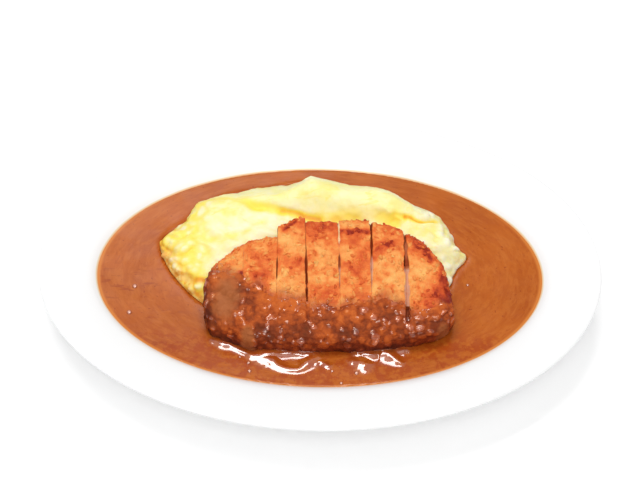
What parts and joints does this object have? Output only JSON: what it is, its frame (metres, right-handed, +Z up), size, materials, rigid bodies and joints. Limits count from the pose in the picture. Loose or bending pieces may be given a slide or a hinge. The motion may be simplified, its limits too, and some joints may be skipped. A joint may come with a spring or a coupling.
{
  "type": "omurice",
  "caption": "Folded egg omelette in brown curry on a white oval plate, with a sliced breaded cutlet leaning on it and curry poured over its front.",
  "frame": {"origin": "on the table under the middle of the plate", "axes": "+X to the diner's right along the plate's long axis, +Y away from the diner, +Z up"},
  "size_m": [0.31, 0.224, 0.0534],
  "materials": {
    "porcelain": "glossy white glaze",
    "curry": "thick glossy curry",
    "egg": "soft moist cooked egg",
    "crust": "fried breadcrumb crust",
    "curry_glaze": "wet curry over crumbs"
  },
  "bodies": {
    "root": {"plate": "porcelain", "curry_pool": "curry", "omelette": "egg", "cutlet_slice_1": "crust", "cutlet_slice_2": "crust", "cutlet_slice_3": "crust", "cutlet_slice_4": "crust", "cutlet_slice_5": "crust", "cutlet_slice_6": "crust", "cutlet_slice_7": "crust", "curry_coat": "curry_glaze"}
  },
  "joints": []
}
